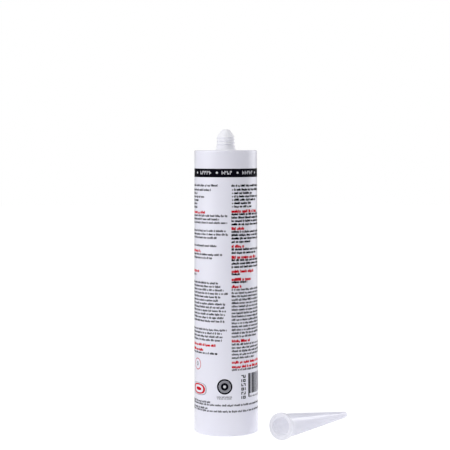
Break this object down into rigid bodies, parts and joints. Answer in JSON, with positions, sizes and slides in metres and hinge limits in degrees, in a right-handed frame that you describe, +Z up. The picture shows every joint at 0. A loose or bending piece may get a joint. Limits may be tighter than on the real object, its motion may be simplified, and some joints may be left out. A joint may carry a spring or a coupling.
{
  "type": "sealant cartridge",
  "caption": "White plastic sealant cartridge with a threaded, closed neck, a sliding piston, its fill, and a hollow cone nozzle laid beside it.",
  "frame": {"origin": "on the cartridge's axis in the plane of its rear rim, which it stands on", "axes": "+Z up along the cartridge from the rear rim to the neck; the printed front faces -Y; +X to the right, towards the nozzle"},
  "size_m": [0.1229, 0.092, 0.2329],
  "materials": {
    "cartridge": "white polyethylene, satin, with printed ink",
    "piston": "natural white polyethylene",
    "sealant": "black paste",
    "nozzle": "natural translucent polyethylene"
  },
  "bodies": {
    "tube": {"cartridge": "cartridge", "sealant": "sealant", "nozzle": "nozzle"},
    "piston": {"piston": "piston"}
  },
  "joints": [
    {"name": "piston_slide", "type": "slide", "parent": "tube", "child": "piston", "axis": [0, 0, 1], "range_m": [0, 0.1842], "deforming": ["sealant"]}
  ]
}
